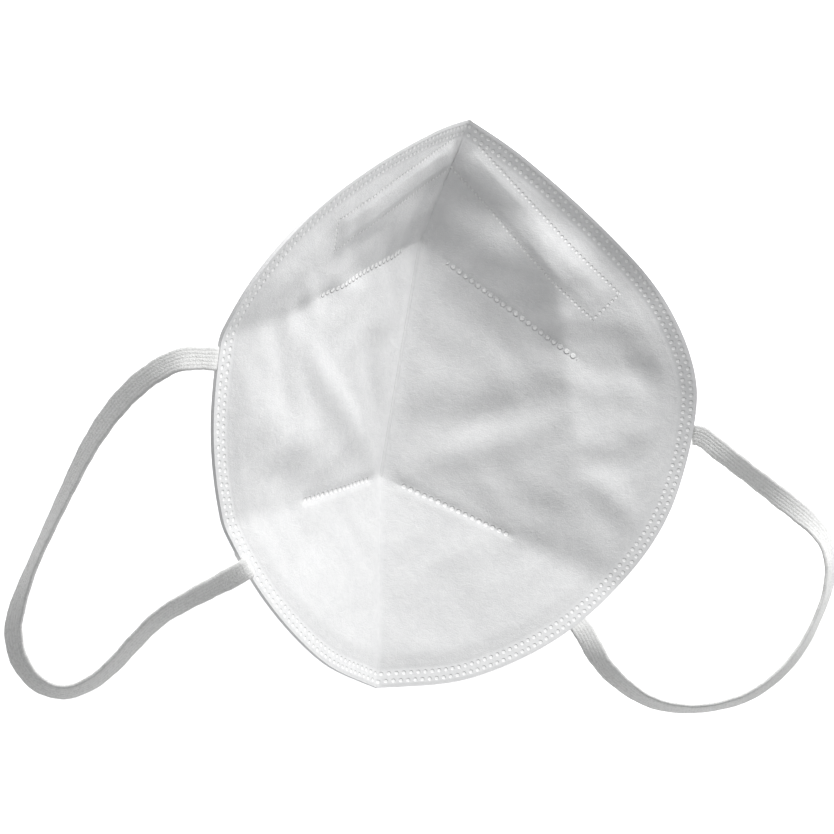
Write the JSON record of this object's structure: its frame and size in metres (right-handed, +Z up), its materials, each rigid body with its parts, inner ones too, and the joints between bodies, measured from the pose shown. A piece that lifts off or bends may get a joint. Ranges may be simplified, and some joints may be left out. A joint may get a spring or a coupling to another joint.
{
  "type": "disposable dust mask",
  "caption": "Vertical flat-fold dust mask, opened and lying on one cheek, with folding nose and chin panels, a covered nose clip and flat elastic ear loops.",
  "frame": {"origin": "bottom centre of the mask body's box, on the surface that the right cheek lies on; the ear loops aren't counted", "axes": "+Z up, away from the surface; +Y along the centre crease from the chin to the nose bridge; +X from the crease across the right cheek to its cut edge"},
  "size_m": [0.2046, 0.1623, 0.0776],
  "materials": {
    "outer_spunbond": "matte point-bonded nonwoven",
    "meltblown_filter": "matte nonwoven",
    "inner_spunbond": "soft matte nonwoven",
    "clip_cover": "matte point-bonded nonwoven",
    "nose_clip_metal": "dull rolled strip",
    "loop_elastic": "ribbed knitted elastic"
  },
  "bodies": {
    "cheek_right": {"cheek_right_outer_skin": "outer_spunbond", "cheek_right_filter": "meltblown_filter", "cheek_right_inner_skin": "inner_spunbond", "ear_loop_right_upper_end": "loop_elastic"},
    "nose_right": {"nose_right_outer_skin": "outer_spunbond", "nose_right_filter": "meltblown_filter", "nose_right_inner_skin": "inner_spunbond", "nose_clip_right": "nose_clip_metal", "nose_clip_cover_right": "clip_cover"},
    "chin_right": {"chin_right_outer_skin": "outer_spunbond", "chin_right_filter": "meltblown_filter", "chin_right_inner_skin": "inner_spunbond", "ear_loop_right_lower_end": "loop_elastic"},
    "ear_loop_right": {"ear_loop_right": "loop_elastic"},
    "cheek_left": {"cheek_left_outer_skin": "outer_spunbond", "cheek_left_filter": "meltblown_filter", "cheek_left_inner_skin": "inner_spunbond", "ear_loop_left_upper_end": "loop_elastic"},
    "nose_left": {"nose_left_outer_skin": "outer_spunbond", "nose_left_filter": "meltblown_filter", "nose_left_inner_skin": "inner_spunbond", "nose_clip_left": "nose_clip_metal", "nose_clip_cover_left": "clip_cover"},
    "chin_left": {"chin_left_outer_skin": "outer_spunbond", "chin_left_filter": "meltblown_filter", "chin_left_inner_skin": "inner_spunbond", "ear_loop_left_lower_end": "loop_elastic"},
    "ear_loop_left": {"ear_loop_left": "loop_elastic"}
  },
  "joints": [
    {"name": "mid_fold", "type": "hinge", "parent": "cheek_right", "child": "cheek_left", "pos_m": [-0.0194, 0.01125, 0.00245], "axis": [0, 1, 0], "range_deg": [0, 110]},
    {"name": "nose_right_fold", "type": "hinge", "parent": "cheek_right", "child": "nose_right", "pos_m": [-0.0194, 0.04325, 0.00245], "axis": [0.891, -0.454, 0], "range_deg": [-27.3, 0]},
    {"name": "nose_left_fold", "type": "hinge", "parent": "cheek_left", "child": "nose_left", "pos_m": [-0.0194, 0.04325, 0.00245], "axis": [-0.4455, -0.454, 0.7716], "range_deg": [0, 27.3]},
    {"name": "chin_right_fold", "type": "hinge", "parent": "cheek_right", "child": "chin_right", "pos_m": [-0.0194, -0.02075, 0.00245], "axis": [0.9613, -0.2756, 0], "range_deg": [0, 20.5]},
    {"name": "chin_left_fold", "type": "hinge", "parent": "cheek_left", "child": "chin_left", "pos_m": [-0.0194, -0.02075, 0.00245], "axis": [-0.4806, -0.2756, 0.8325], "range_deg": [-20.5, 0]},
    {"name": "ear_loop_right_swing", "type": "hinge", "parent": "cheek_right", "child": "ear_loop_right", "pos_m": [0.06132, -0.00275, 0.0015], "axis": [-0.4209, -0.9043, 0.0713], "range_deg": [0, 150], "deforming": ["ear_loop_right"]},
    {"name": "ear_loop_left_swing", "type": "hinge", "parent": "cheek_left", "child": "ear_loop_left", "pos_m": [-0.06058, -0.00275, 0.07188], "axis": [-0.2722, 0.9043, 0.3289], "range_deg": [0, 150], "deforming": ["ear_loop_left"]}
  ],
  "couplings": [
    {"joint": "nose_right_fold", "follows": "mid_fold", "ratio": -0.2476},
    {"joint": "nose_left_fold", "follows": "mid_fold", "ratio": 0.2476},
    {"joint": "chin_right_fold", "follows": "mid_fold", "ratio": 0.18605},
    {"joint": "chin_left_fold", "follows": "mid_fold", "ratio": -0.18605}
  ]
}
